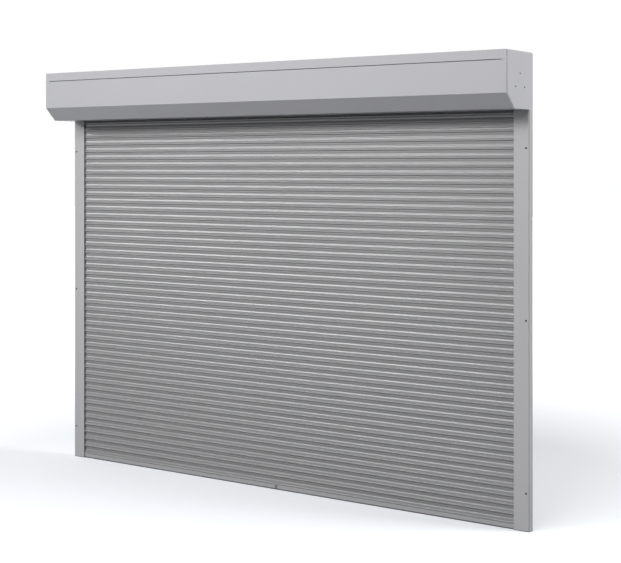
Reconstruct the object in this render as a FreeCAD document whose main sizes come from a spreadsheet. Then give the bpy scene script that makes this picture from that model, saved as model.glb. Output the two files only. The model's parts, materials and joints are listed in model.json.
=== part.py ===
import FreeCAD, Part
import math
import os
import Sketcher

# Roller shutter garage door, closed, in millimetres.
# The origin is on the wall, at floor level, in the middle of the opening.
# X runs along the opening, Y goes into the wall and Z is up, so the street side is at negative Y.

os.makedirs("parts", exist_ok=True)
Vector = FreeCAD.Vector
Rotation = FreeCAD.Rotation
doc = FreeCAD.newDocument("roller_shutter_door")

SIZES = [
    ("opening_width", 3100, "clear width between the side guides"),
    ("clear_height", 2205, "floor to the underside of the head box"),
    ("guide_width", 90, "width of a side guide, seen from the front"),
    ("guide_depth", 40, "depth of a side guide, from the wall"),
    ("guide_wall", 2, "wall of the guide extrusions"),
    ("guide_edge", 6, "chamfer on the outer front edge of a guide"),
    ("cover_joint", 0.3, "clip leg of the guide cover to the wall beside it"),
    ("side_joint", 2, "open joint beside the guide, from the channel to its cover"),
    ("slot_width", 45, "how far the curtain slot reaches into a guide"),
    ("cover_leg", 10, "clip leg behind the guide cover"),
    ("rib_near", 64, "near side of the screw rib, from the guide's inner edge"),
    ("rib_width", 12, "width of the screw rib"),
    ("rib_depth", 12, "depth of the screw rib"),
    ("liner_wall", 1, "wall of the slot liner"),
    ("foot_height", 3, "thickness of the guide foot"),
    ("foot_plug", 10, "height of the plug on the guide foot"),
    ("foot_margin", 1, "play of the plug inside the channel"),
    ("wall_hole_across", 58, "wall holes, from the guide's inner edge"),
    ("wall_hole_radius", 4.25, "radius of the wall holes"),
    ("wall_hole_end", 150, "first and last wall hole, from the guide's ends"),
    ("guide_screw_end", 200, "first and last cover screw, from the guide's ends"),
    ("guide_screw_head", 5.5, "head radius of the guide screws"),
    ("guide_screw_dome", 2.6, "head height of the guide screws"),
    ("guide_screw_shank", 1.9, "shank radius of the guide screws"),
    ("guide_screw_length", 12, "shank length of the guide screws"),
    ("box_height", 300, "height of the head box"),
    ("box_depth", 300, "depth of the head box"),
    ("box_chamfer", 78, "legs of the 45 degree chamfer at the lower front edge"),
    ("strip_height", 50, "front strip of the top cover"),
    ("seam_gap", 3.5, "seam between the front strip and the inspection cover"),
    ("cover_sheet", 1.5, "sheet of the box covers"),
    ("cover_play", 0.2, "gap between a cover and what it meets"),
    ("hem_width", 16, "hem along the seam"),
    ("back_lip", 25, "lip of the top cover down the wall"),
    ("lip_lap", 12, "overlap of the back cover behind that lip"),
    ("mouth_front", 7, "mouth of the box, in front of the curtain"),
    ("mouth_back", 4.5, "mouth of the box, behind the curtain"),
    ("mouth_upturn", 8, "upturned edge behind the mouth"),
    ("plate_web", 4, "web of an end plate"),
    ("plate_edge", 5, "chamfer round the outer face of an end plate"),
    ("rim_width", 12, "rim of an end plate, seen from the front"),
    ("rim_wall", 3, "wall of that rim"),
    ("flange_width", 20, "flange that the covers lie on"),
    ("flange_wall", 2, "wall of that flange"),
    ("tongue_drop", 60, "tongue of an end plate, down into the guide"),
    ("tongue_width", 20, "depth of that tongue, front to back"),
    ("tongue_wall_gap", 4, "tongue to the wall"),
    ("plate_screw_top", 33, "upper plate screw, above the barrel axis"),
    ("plate_screw_side", 52, "lower plate screws, beside the barrel axis"),
    ("plate_screw_low", 36, "lower plate screws, below the barrel axis"),
    ("plate_screw_head", 4.5, "head radius of the plate screws"),
    ("plate_screw_dome", 2.2, "head height of the plate screws"),
    ("plate_screw_shank", 2.8, "shank radius of the plate screws"),
    ("fit_gap", 0.3, "gap between two round faces, such as a screw and its hole"),
    ("cover_screw_head", 4, "head radius of the cover screws"),
    ("cover_screw_dome", 1.8, "head height of the cover screws"),
    ("cover_screw_shank", 1.8, "shank radius of the cover screws"),
    ("cover_screw_length", 6, "shank length of the cover screws"),
    ("cover_screw_first", 90, "rear cover screw, from the wall"),
    ("cover_screw_step", 100, "distance to the front cover screw"),
    ("brush_holder_width", 9, "holder of the mouth brush"),
    ("brush_holder_height", 5.5, "holder of the mouth brush"),
    ("brush_thickness", 1.6, "bristles of the mouth brush"),
    ("brush_gap", 0.6, "bristles to the curtain"),
    ("funnel_height", 38, "inlet funnel above a guide"),
    ("funnel_wall", 1.5, "wall of the funnel"),
    ("funnel_flare", 6, "how far the funnel opens at its top"),
    ("barrel_back", 150, "barrel axis, from the wall"),
    ("barrel_up", 150, "barrel axis, above the underside of the box"),
    ("barrel_flats", 70, "octagonal barrel, across its flats"),
    ("barrel_wall", 1.5, "wall of the barrel"),
    ("barrel_left_gap", 40, "barrel to the outer face, on the idler side"),
    ("barrel_right_gap", 44, "barrel to the outer face, on the motor side"),
    ("barrel_flange", 38, "radius of the flanges at the barrel's ends"),
    ("barrel_flange_wall", 3, "thickness of those flanges"),
    ("bracket_radius", 72, "motor bracket and bearing holder"),
    ("bracket_wall", 6, "their thickness"),
    ("motor_radius", 22.5, "motor tube"),
    ("motor_length", 600, "motor tube"),
    ("motor_play", 0.5, "running gap round the motor tube"),
    ("motor_head_radius", 24.5, "fixed head of the motor"),
    ("socket_wall", 3.3, "wall of the socket that holds the motor head"),
    ("socket_length", 15, "depth of that socket"),
    ("crown_length", 22, "crown ring inside the barrel"),
    ("wheel_length", 18, "drive wheel"),
    ("shaft_square", 10, "motor output shaft, across its flats"),
    ("shaft_length", 25, "motor output shaft"),
    ("cap_length", 60, "end cap inside the barrel"),
    ("pin_length", 79, "idler pin"),
    ("pin_radius", 6, "idler pin"),
    ("bearing_radius", 14, "ball bearing, outside"),
    ("bearing_width", 8, "ball bearing"),
    ("bearing_ring", 2.6, "radial thickness of each bearing ring"),
    ("bearing_step", 2, "shoulder that the outer ring rests on"),
    ("ball_radius", 1.5, "bearing balls"),
    ("ball_gap", 0.3, "ball to its race"),
    ("ball_count", 8, "bearing balls"),
    ("cage_wall", 0.8, "ball cage"),
    ("holder_wall", 5.5, "wall of the bearing seat"),
    ("holder_length", 12, "depth of the bearing seat"),
    ("grommet_inset", 140, "cable grommet, from the outer face of the box"),
    ("grommet_drop", 45, "cable grommet, below the top of the box"),
    ("grommet_bore", 4.5, "radius of the cable grommet's bore"),
    ("grommet_neck", 7, "radius of its neck"),
    ("grommet_flange", 10, "radius of its flanges"),
    ("grommet_lip", 1.5, "thickness of its flanges"),
    ("slat_pitch", 46.9, "height of one slat in the curtain"),
    ("slat_depth", 14, "front to back of a slat"),
    ("slat_play", 1.5, "slat to the wall of the slot"),
    ("slat_engagement", 32, "slat end inside a guide"),
    ("slat_wall", 1.2, "wall of a slat"),
    ("slat_gap", 0.5, "gap under the lower front edge of a slat"),
    ("slat_rest", 0.1, "gap between the back of a slat and the one it stands on"),
    ("skirt_setback", 1.6, "lower edge of a slat, behind its crest"),
    ("crest_rise", 4.4, "crest of the rolled lip at the foot of a slat, above its lower edge"),
    ("face_setback", 4.6, "foot of a slat's broad face, behind its crest"),
    ("face_rise", 10.8, "foot of the broad face, above the lower edge"),
    ("bulge_setback", 5.1, "middle of the broad face, behind the crest"),
    ("bulge_rise", 18, "middle of the broad face, above the lower edge"),
    ("brow_setback", 6.8, "where the broad face turns to the valley, behind the crest"),
    ("brow_rise", 24.5, "where the broad face turns to the valley, above the lower edge"),
    ("slope_setback", 7.6, "middle of the slope into the valley, behind the crest"),
    ("slope_rise", 27.5, "middle of the slope into the valley, above the lower edge"),
    ("valley_setback", 7.9, "valley of a slat, behind its crest"),
    ("valley_rise", 30, "valley of a slat, above its lower edge"),
    ("valley_flat", 0.5, "height of the valley"),
    ("bead_setback", 5.2, "bead above the valley, behind the crest"),
    ("bead_middle", 34.8, "middle of the bead, above the lower edge"),
    ("bead_rise", 42, "top of the bead, above the lower edge"),
    ("neck_setback", 7.2, "neck of a slat, behind its crest"),
    ("neck_wall", 2, "neck of a slat"),
    ("neck_height", 3.2, "neck inside the next slat"),
    ("hook_height", 2, "hook at the top of a slat"),
    ("hook_reach", 2.9, "how far the hook stands back from the neck"),
    ("hook_play", 0.4, "gap round the hook"),
    ("curtain_entry", 70, "least height of curtain inside the box when closed"),
    ("section_count", 8, "sections that the curtain is grouped into"),
    ("clip_wall", 1.5, "plate of an end clip"),
    ("clip_plug", 10, "plug of an end clip, inside the slat"),
    ("clip_play", 0.3, "play of that plug"),
    ("rail_height", 30, "floor to the lower edge of the first slat"),
    ("rail_setback", 2, "front of the bottom rail, behind the slat crests"),
    ("rail_bottom", 7, "floor to the underside of the bottom rail"),
    ("rail_wall", 1.6, "wall of the bottom rail"),
    ("seal_slot", 8, "slot for the seal, inside"),
    ("seal_mouth", 4, "slot for the seal, at its mouth"),
    ("seal_slot_height", 3, "slot for the seal"),
    ("seal_play", 0.3, "play of the seal in its slot"),
    ("seal_end_gap", 2, "end of the seal to the guide"),
    ("rail_plug_wall", 2.5, "plate of a rail end plug"),
    ("stop_width", 8, "travel stop"),
    ("stop_reach", 9, "travel stop, in front of the slat crests"),
    ("stop_top", 28, "top of the travel stop, above the floor"),
    ("stop_foot", 7.5, "foot of the travel stop, above the floor"),
    ("strap_width", 30, "hanger strap"),
    ("strap_wall", 1.2, "hanger strap"),
    ("strap_inset", 350, "outermost hanger straps, from the inner edge of a guide"),
    ("strap_count", 4, "hanger straps"),
    ("strap_on_flat", 20, "strap held flat on the barrel"),
    ("strap_leg", 7, "end of the strap beside the top slat"),
    ("strap_screw_head", 4, "head radius of the strap screws"),
    ("strap_screw_dome", 1.8, "head height of the strap screws"),
    ("strap_screw_shank", 2, "shank radius of the strap screws"),
]

sheet = doc.addObject("Spreadsheet::Sheet", "Sizes")
for row, (alias, value, meaning) in enumerate(SIZES, start=1):
    sheet.set("A%d" % row, alias)
    sheet.set("B%d" % row, str(value))
    sheet.set("C%d" % row, meaning)
    sheet.setAlias("B%d" % row, alias)
doc.recompute()


class Size:
    """A number that keeps its formula, so that one sum both places a shape and stays bound to the sheet."""

    def __init__(self, text, number):
        self.text = text
        self.number = number

    def joined(self, sign, other, number):
        return Size("(%s %s %s)" % (self.text, sign, other.text), number)

    def __add__(self, other):
        other = as_size(other)
        return self.joined("+", other, self.number + other.number)

    def __sub__(self, other):
        other = as_size(other)
        return self.joined("-", other, self.number - other.number)

    def __mul__(self, other):
        other = as_size(other)
        return self.joined("*", other, self.number * other.number)

    def __truediv__(self, other):
        other = as_size(other)
        return self.joined("/", other, self.number / other.number)

    def __radd__(self, other):
        return as_size(other) + self

    def __rsub__(self, other):
        return as_size(other) - self

    def __rmul__(self, other):
        return as_size(other) * self

    def __neg__(self):
        return as_size(0) - self


def as_size(value):
    return value if isinstance(value, Size) else Size("%.10g" % value, float(value))


def size(alias):
    return Size("Sizes." + alias, float(sheet.get(alias)))


def bind(thing, name, value):
    thing.setExpression(name, as_size(value).text)


# Across and up share of a length that lies at 45 degrees, and what a sheet's miter adds at a 45 degree fold.

DIAGONAL = Size("sqrt(0.5)", math.sqrt(0.5))
MITER = Size("(sqrt(2) - 1)", math.sqrt(2) - 1)


# Parametric helpers: a body holds sketches, and a sketch's points are all bound to the sheet.

pieces = []


def new_body(label, place=(0, 0, 0), turn=None, kept=True):
    body = doc.addObject("PartDesign::Body", label)
    body.Label = label
    if turn is not None:
        body.Placement = FreeCAD.Placement(Vector(0, 0, 0), turn)
    for axis, value in zip("xyz", place):
        bind(body, "Placement.Base." + axis, value)
    if kept:
        pieces.append(body)
    return body


def new_sketch(body, plane, offset=0):
    sketch = body.newObject("Sketcher::SketchObject", "outline")
    support = [f for f in body.Origin.OriginFeatures if f.Role == plane][0]
    sketch.AttachmentSupport = (support, [""])
    sketch.MapMode = "FlatFace"
    bind(sketch, "AttachmentOffset.Base.z", offset)
    return sketch


def pin(sketch, item, end, point):
    for kind, value in zip(("DistanceX", "DistanceY"), point):
        value = as_size(value)
        at = sketch.addConstraint(Sketcher.Constraint(kind, -1, 1, item, end, value.number))
        bind(sketch, "Constraints[%d]" % at, value)


def flat(point):
    return Vector(as_size(point[0]).number, as_size(point[1]).number, 0)


def draw(sketch, start, *steps):
    """Draws a closed outline. A step is a point, or a pair of points: one that the arc passes and its end."""
    ends = []
    here = start
    for step in list(steps) + [start]:
        is_arc = isinstance(step[0], tuple)
        there = step[1] if is_arc else step
        if is_arc:
            arc, first, last = arc_through(here, step[0], there)
            item = sketch.addGeometry(arc, False)
            passed = sketch.addGeometry(Part.Point(flat(step[0])), True)
            sketch.addConstraint(Sketcher.Constraint("PointOnObject", passed, 1, item))
            pin(sketch, passed, 1, step[0])
        else:
            item = sketch.addGeometry(Part.LineSegment(flat(here), flat(there)), False)
            first, last = 1, 2
        pin(sketch, item, last, there)
        ends.append((item, first, last))
        here = there
    for (item, first, _), (before, _, last) in zip(ends, ends[-1:] + ends[:-1]):
        sketch.addConstraint(Sketcher.Constraint("Coincident", before, last, item, first))


def arc_through(start, passed, end):
    """The arc, and which of its own ends are its start and end here: arcs in a sketch run anticlockwise."""
    a, b, c = flat(start), flat(passed), flat(end)
    round_them = Part.Circle(a, b, c)
    circle = Part.Circle(round_them.Center, Vector(0, 0, 1), round_them.Radius)
    anticlockwise = (b - a).cross(c - b).z > 0
    first, last = (a, c) if anticlockwise else (c, a)
    angles = [math.atan2(p.y - circle.Center.y, p.x - circle.Center.x) for p in (first, last)]
    arc = Part.ArcOfCircle(circle, angles[0], angles[1])
    return (arc, 1, 2) if anticlockwise else (arc, 2, 1)


def rectangle(sketch, low, high):
    draw(sketch, low, (high[0], low[1]), high, (low[0], high[1]))


def circle(sketch, centre, radius):
    radius = as_size(radius)
    item = sketch.addGeometry(Part.Circle(flat(centre), Vector(0, 0, 1), radius.number), False)
    pin(sketch, item, 3, centre)
    at = sketch.addConstraint(Sketcher.Constraint("Radius", item, radius.number))
    bind(sketch, "Constraints[%d]" % at, radius)


def octagon(sketch, flats):
    half = flats / 2
    corner = half * MITER
    points = [(half, -corner), (half, corner), (corner, half), (-corner, half)]
    points += [(-y, -z) for y, z in points]
    draw(sketch, *points)


def pad(body, sketch, length, reverse=False, middle=False):
    feature = body.newObject("PartDesign::Pad", "pad")
    feature.Profile = sketch
    feature.Length = as_size(length).number
    bind(feature, "Length", length)
    feature.Reversed = reverse
    feature.Midplane = middle
    doc.recompute()
    return feature


def pocket(body, sketch, length):
    """Cuts against the sketch plane's normal, and makes sure that something was cut."""
    before = body.Shape.Volume
    feature = body.newObject("PartDesign::Pocket", "pocket")
    feature.Profile = sketch
    feature.Length = as_size(length).number
    bind(feature, "Length", length)
    doc.recompute()
    if body.Shape.Volume >= before:
        raise ValueError("a pocket in %s cuts nothing" % body.Label)
    return feature


def revolve(body, sketch, axis="V_Axis"):
    feature = body.newObject("PartDesign::Revolution", "revolution")
    feature.Profile = sketch
    feature.ReferenceAxis = (sketch, [axis])
    feature.Angle = 360
    doc.recompute()
    return feature


def row_of(body, features, axis, count, length):
    """Repeats features along one of the body's axes; length is from the first copy to the last."""
    pattern = body.newObject("PartDesign::LinearPattern", "row")
    pattern.Originals = features
    pattern.Direction = ([f for f in body.Origin.OriginFeatures if f.Role == axis][0], [""])
    pattern.Occurrences = int(count)
    pattern.Length = as_size(length).number
    bind(pattern, "Length", length)
    body.Tip = pattern
    doc.recompute()


def slab(body, side, near, far, *outlines):
    """Pads outlines in the YZ plane from near to far along X, on the right (1) or left (-1) side."""
    sketch = new_sketch(body, "YZ_Plane", side * near)
    for outline in outlines:
        outline(sketch)
    return pad(body, sketch, far - near, reverse=side < 0)


def group(label, members):
    compound = doc.addObject("Part::Compound", label)
    compound.Label = label
    compound.Links = members
    pieces.append(compound)


def named(side):
    return "right" if side > 0 else "left"


# Values worked out from the driving dimensions.

half_opening = size("opening_width") / 2
half_door = half_opening + size("guide_width")
box_base = size("clear_height")
box_top = box_base + size("box_height")
curtain_front = size("guide_depth") - size("guide_wall") - size("slat_play")
curtain_back = curtain_front - size("slat_depth")
slat_half = half_opening + size("slat_engagement")
slat_total = math.ceil(
    (size("clear_height") - size("rail_height") + size("curtain_entry")).number / size("slat_pitch").number
)
curtain_top = size("rail_height") + slat_total * size("slat_pitch")
barrel_place = (0, -size("barrel_back"), box_base + size("barrel_up"))
cover_end = half_door - size("rim_width") - size("cover_play")
web_face = half_door - size("plate_web")
bracket_face = web_face - size("bracket_wall")
front_lip = curtain_front + size("mouth_front")
back_lip_edge = curtain_back - size("mouth_back")
strap_span = 2 * (half_opening - size("strap_inset"))


# Screws: a domed head with a crossed recess, pointing up its own Z axis.


def screw(label, place, turn, kind, length, kept=False):
    body = new_body(label, place, turn, kept)
    head, dome, shank = size(kind + "_head"), size(kind + "_dome"), size(kind + "_shank")
    sketch = new_sketch(body, "XZ_Plane")
    draw(
        sketch,
        (0, -length),
        (shank / 2, -length),
        (shank, shank - length),
        (shank, 0),
        (head, 0),
        (head, dome / 3),
        ((head * 0.8, dome * 0.78), (head * 0.45, dome)),
        (0, dome),
    )
    revolve(body, sketch)
    recess = new_sketch(body, "XY_Plane", dome)
    arm, half = head * 0.4, head * 0.1
    draw(
        recess,
        (arm, -half),
        (arm, half),
        (half, half),
        (half, arm),
        (-half, arm),
        (-half, half),
        (-arm, half),
        (-arm, -half),
        (-half, -half),
        (-half, -arm),
        (half, -arm),
        (half, -half),
    )
    pocket(body, recess, dome * 0.7)
    return body


FACING_STREET = Rotation(Vector(1, 0, 0), 90)
FACING_FLOOR = Rotation(Vector(1, 0, 0), 180)
SQUARE_TO_FLAT = Rotation(Vector(1, 0, 0), -45)


def facing_side(side):
    return Rotation(Vector(0, 1, 0), 90 * side)


# Side guides. A point in a guide is given by its distance across, from the guide's inner edge,
# and its distance off the wall.


def in_guide(side, across, off_wall):
    return side * (half_opening + across), -off_wall


def guide_polygon(sketch, side, *points):
    placed = [in_guide(side, across, off_wall) for across, off_wall in points]
    draw(sketch, *placed)


def screw_heights(end):
    """Heights of the lowest of three equally spaced holes, and the distance from it to the highest."""
    return size(end), box_base - 2 * size(end)


def hole_row(body, side, across, off_wall, radius, depth, end):
    low, span = screw_heights(end)
    sketch = new_sketch(body, "XZ_Plane", off_wall)
    circle(sketch, (side * (half_opening + across), low - size("foot_height")), radius)
    hole = pocket(body, sketch, depth)
    row_of(body, [hole], "Z_Axis", 3, span)


def guide_channel(side):
    wall = size("guide_wall")
    front = size("guide_depth") - wall
    slot_back = curtain_back - size("slat_play")
    slot_end = size("slot_width")
    outer = size("guide_width")
    joint = size("guide_depth") / 2
    inset = outer - wall
    inner = inset - wall
    rib = size("rib_near")
    rib_end = rib + size("rib_width")
    rib_root = front - size("rib_depth")
    body = new_body("guide_channel_" + named(side), (0, 0, size("foot_height")))
    sketch = new_sketch(body, "XY_Plane")
    guide_polygon(
        sketch,
        side,
        (0, 0),
        (outer, 0),
        (outer, joint - size("side_joint")),
        (inset, joint - size("side_joint")),
        (inset, front - size("guide_edge")),
        (inner, front - size("guide_edge")),
        (inner, rib_root + wall),
        (rib_end, rib_root + wall),
        (rib_end, front),
        (rib, front),
        (rib, rib_root),
        (inner, rib_root),
        (inner, wall),
        (wall, wall),
        (wall, slot_back - wall),
        (slot_end + wall, slot_back - wall),
        (slot_end + wall, front),
        (slot_end, front),
        (slot_end, slot_back),
        (0, slot_back),
    )
    pad(body, sketch, box_base - size("foot_height"))
    hole_row(body, side, size("wall_hole_across"), wall, size("wall_hole_radius"), wall, "wall_hole_end")
    middle = rib + size("rib_width") / 2
    depth = size("guide_screw_length") - wall + size("fit_gap")
    radius = size("guide_screw_shank") + size("fit_gap")
    hole_row(body, side, middle, front, radius, depth, "guide_screw_end")


def guide_cover(side):
    wall = size("guide_wall")
    front = size("guide_depth")
    back = front - wall
    outer = size("guide_width")
    edge = size("guide_edge")
    inner_edge = edge + wall * MITER
    side_face = outer - wall + size("cover_play")
    leg = size("slot_width") + wall + size("cover_joint")
    leg_end = leg + wall * 0.75
    body = new_body("guide_cover_" + named(side), (0, 0, size("foot_height")))
    sketch = new_sketch(body, "XY_Plane")
    guide_polygon(
        sketch,
        side,
        (0, back),
        (leg, back),
        (leg, back - size("cover_leg")),
        (leg_end, back - size("cover_leg")),
        (leg_end, back),
        (outer - inner_edge, back),
        (side_face, front - inner_edge - size("cover_play")),
        (side_face, front / 2),
        (outer, front / 2),
        (outer, front - edge),
        (outer - edge, front),
        (0, front),
    )
    pad(body, sketch, box_base - size("foot_height"))
    middle = size("rib_near") + size("rib_width") / 2
    radius = size("guide_screw_shank") + size("fit_gap")
    hole_row(body, side, middle, front, radius, wall, "guide_screw_end")


def guide_liner(side):
    """The dark plastic strip round the curtain slot, which keeps the slats quiet."""
    wall = size("liner_wall")
    front = size("guide_depth") - size("guide_wall")
    back = curtain_back - size("slat_play")
    end = size("slot_width")
    body = new_body("guide_liner_" + named(side), (0, 0, size("foot_height")))
    sketch = new_sketch(body, "XY_Plane")
    guide_polygon(
        sketch,
        side,
        (wall, front),
        (end, front),
        (end, back),
        (wall, back),
        (wall, back + wall),
        (end - wall, back + wall),
        (end - wall, front - wall),
        (wall, front - wall),
    )
    pad(body, sketch, box_base - size("foot_height"))


def guide_foot(side):
    wall = size("guide_wall") + size("foot_margin")
    body = new_body("guide_foot_" + named(side))
    sketch = new_sketch(body, "XY_Plane")
    guide_polygon(
        sketch,
        side,
        (0, 0),
        (size("guide_width"), 0),
        (size("guide_width"), size("guide_depth") - size("guide_edge")),
        (size("guide_width") - size("guide_edge"), size("guide_depth")),
        (0, size("guide_depth")),
    )
    pad(body, sketch, size("foot_height"))
    plug = new_sketch(body, "XY_Plane")
    slot_back = curtain_back - size("slat_play") - size("guide_wall") - size("foot_margin")
    plug_end = size("slot_width")
    guide_polygon(plug, side, (wall, wall), (plug_end, wall), (plug_end, slot_back), (wall, slot_back))
    pad(body, plug, size("foot_height") + size("foot_plug"))


def guide_screws(side):
    low, span = screw_heights("guide_screw_end")
    across = size("rib_near") + size("rib_width") / 2
    x = side * (half_opening + across)
    screws = []
    for number in range(3):
        place = (x, -size("guide_depth"), low + span * number / 2)
        label = "guide_screw_%s_%d" % (named(side), number + 1)
        screws.append(screw(label, place, FACING_STREET, "guide_screw", size("guide_screw_length")))
    group("guide_screws_" + named(side), screws)


def inlet_funnel(side):
    """Guides the slats from the box into the slot. Its cheeks stand on the guide and lean apart."""
    wall = size("funnel_wall")
    flare = size("funnel_flare")
    height = size("funnel_height")
    start = half_opening + size("guide_wall")
    end = half_opening + size("slot_width")
    front = size("guide_depth") - size("guide_wall")
    back = curtain_back - size("slat_play")
    body = new_body("inlet_funnel_" + named(side), (0, 0, box_base))
    straight = height / 4
    slab(
        body,
        side,
        start,
        end,
        lambda sketch: draw(
            sketch,
            (-front, 0),
            (-front, straight),
            (-front - flare, height),
            (-front - flare - wall, height),
            (-front - wall, straight),
            (-front - wall, 0),
        ),
        lambda sketch: draw(
            sketch,
            (-back, 0),
            (-back, straight),
            (-back + flare, height),
            (-back + flare + wall, height),
            (-back + wall, straight),
            (-back + wall, 0),
        ),
    )
    slab(
        body,
        side,
        end,
        end + wall,
        lambda sketch: draw(
            sketch,
            (-front - wall, 0),
            (-back + wall, 0),
            (-back + wall, straight),
            (-back + flare + wall, height),
            (-front - flare - wall, height),
            (-front - wall, straight),
        ),
    )


# Head box. Its section is a square with a 45 degree chamfer at the lower front edge.


def box_section(inset, back):
    """The section set in by inset, with its rear side that far off the wall plane."""
    inset, back = as_size(inset), as_size(back)
    miter = inset * MITER
    depth, chamfer = size("box_depth"), size("box_chamfer")
    points = [
        (-back, box_base + inset),
        (-back, box_top - inset),
        (-depth + inset, box_top - inset),
        (-depth + inset, box_base + chamfer + miter),
        (chamfer - depth + miter, box_base + inset),
    ]
    return lambda sketch: draw(sketch, *points)


def plate_screw_points():
    """Holes of an end plate, as offsets from the barrel axis."""
    side, low = size("plate_screw_side"), -size("plate_screw_low")
    return [(0, size("plate_screw_top")), (-side, low), (side, low)]


def screw_circles(sketch, radius, about=(0, 0)):
    for y, z in plate_screw_points():
        circle(sketch, (about[0] + y, about[1] + z), radius)


def chamfer_outer_face(body, feature, side):
    """Chamfers the outer face's top, front and slanting edges. The foot and the rear stay square."""
    names = []
    for number, edge in enumerate(feature.Shape.Edges, start=1):
        on_face = all(abs(v.X - side * half_door.number) < 0.001 for v in edge.Vertexes)
        at_foot = all(abs(v.Z - box_base.number) < 0.001 for v in edge.Vertexes)
        at_rear = all(abs(v.Y) < 0.001 for v in edge.Vertexes)
        if on_face and len(edge.Vertexes) == 2 and not at_foot and not at_rear:
            names.append("Edge%d" % number)
    chamfer = body.newObject("PartDesign::Chamfer", "chamfer")
    chamfer.Base = (feature, names)
    chamfer.Size = size("plate_edge").number
    bind(chamfer, "Size", size("plate_edge"))
    doc.recompute()


def end_plate(side):
    body = new_body("end_plate_" + named(side))
    rim_start = half_door - size("rim_width")
    hole_radius = size("plate_screw_shank") + size("fit_gap")
    axis = barrel_place[1:]
    sheet_wall = size("cover_sheet")
    behind = 2 * sheet_wall + size("cover_play")
    wall = size("flange_wall")
    edge, inside = box_section(0, 0), box_section(size("rim_wall"), size("rim_wall"))
    slab(body, side, web_face, half_door, edge, lambda sketch: screw_circles(sketch, hole_radius, axis))
    rim = slab(body, side, rim_start, web_face, edge, inside)
    chamfer_outer_face(body, rim, side)
    slab(
        body,
        side,
        rim_start - size("flange_width"),
        web_face,
        box_section(sheet_wall, behind),
        box_section(sheet_wall + wall, behind + wall),
    )
    tongue_front = -size("tongue_wall_gap") - size("tongue_width")
    tongue_far = web_face - size("cover_play")
    tongue_near = half_opening + size("rib_near") + size("rib_width") + size("guide_wall")
    slab(
        body,
        side,
        tongue_near,
        tongue_far,
        lambda sketch: rectangle(
            sketch,
            (tongue_front, box_base - size("tongue_drop")),
            (-size("tongue_wall_gap"), box_base + size("rim_wall")),
        ),
    )
    cover_screw_holes(body, wall + sheet_wall, [side])


def cover_screw_x(side):
    return side * (half_door - size("rim_width") - size("flange_width") / 2)


def cover_screw_y():
    return [-size("cover_screw_first"), -size("cover_screw_first") - size("cover_screw_step")]


def cover_screw_holes(body, depth, sides):
    radius = size("cover_screw_shank") + size("fit_gap")
    sketch = new_sketch(body, "XY_Plane", box_base + depth)
    for at_side in sides:
        for y in cover_screw_y():
            circle(sketch, (cover_screw_x(at_side), y), radius)
    pocket(body, sketch, depth)


def end_plate_screws(side):
    length = size("plate_web") + size("bracket_wall")
    screws = []
    for number, (y, z) in enumerate(plate_screw_points(), start=1):
        place = (side * half_door, barrel_place[1] + y, barrel_place[2] + z)
        label = "plate_screw_%s_%d" % (named(side), number)
        screws.append(screw(label, place, facing_side(side), "plate_screw", length))
    group("end_plate_screws_" + named(side), screws)


def cover(label, *points):
    body = new_body(label)
    sketch = new_sketch(body, "YZ_Plane")
    draw(sketch, *points)
    pad(body, sketch, 2 * cover_end, middle=True)
    return body


def stiffen(body, low, high):
    """A folded edge inside the box, which stops short of the end plates' flanges."""
    sketch = new_sketch(body, "YZ_Plane")
    rectangle(sketch, low, high)
    pad(body, sketch, 2 * (cover_end - size("flange_width") - size("cover_play") * 5), middle=True)


def top_cover():
    sheet_wall, depth = size("cover_sheet"), size("box_depth")
    seam = box_top - size("strip_height")
    body = cover(
        "top_cover",
        (-depth, seam),
        (-depth, box_top),
        (0, box_top),
        (0, box_top - size("back_lip")),
        (-sheet_wall, box_top - size("back_lip")),
        (-sheet_wall, box_top - sheet_wall),
        (sheet_wall - depth, box_top - sheet_wall),
        (sheet_wall - depth, seam),
    )
    stiffen(body, (sheet_wall / 2 - depth, seam), (size("hem_width") - depth, seam + sheet_wall))


def back_cover():
    sheet_wall = size("cover_sheet")
    back = sheet_wall + size("cover_play")
    top = box_top - size("back_lip") + size("lip_lap")
    body = cover(
        "back_cover",
        (-back, box_base),
        (-back, top),
        (-back - sheet_wall, top),
        (-back - sheet_wall, box_base + sheet_wall),
        (-back_lip_edge, box_base + sheet_wall),
        (-back_lip_edge, box_base),
    )
    upturn_top = box_base + size("mouth_upturn")
    stiffen(body, (-back_lip_edge, box_base + sheet_wall / 2), (sheet_wall - back_lip_edge, upturn_top))
    sketch = new_sketch(body, "XZ_Plane", back + sheet_wall)
    radius = size("grommet_neck") + size("fit_gap")
    circle(sketch, (half_door - size("grommet_inset"), box_top - size("grommet_drop")), radius)
    pocket(body, sketch, sheet_wall)


def inspection_cover():
    sheet_wall, depth, chamfer = size("cover_sheet"), size("box_depth"), size("box_chamfer")
    miter = sheet_wall * MITER
    top = box_top - size("strip_height") - size("seam_gap")
    hem = size("hem_width") - depth
    body = cover(
        "inspection_cover",
        (-depth, top),
        (sheet_wall - depth, top),
        (sheet_wall - depth, box_base + chamfer + miter),
        (chamfer - depth + miter, box_base + sheet_wall),
        (-front_lip, box_base + sheet_wall),
        (-front_lip, box_base),
        (chamfer - depth, box_base),
        (-depth, box_base + chamfer),
    )
    stiffen(body, (sheet_wall / 2 - depth, top - sheet_wall), (hem, top))
    cover_screw_holes(body, sheet_wall, [1, -1])


def cover_screws():
    screws = []
    for side in (1, -1):
        for number, y in enumerate(cover_screw_y(), start=1):
            place = (cover_screw_x(side), y, box_base)
            label = "cover_screw_%s_%d" % (named(side), number)
            screws.append(screw(label, place, FACING_FLOOR, "cover_screw", size("cover_screw_length")))
    group("cover_screws", screws)


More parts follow.
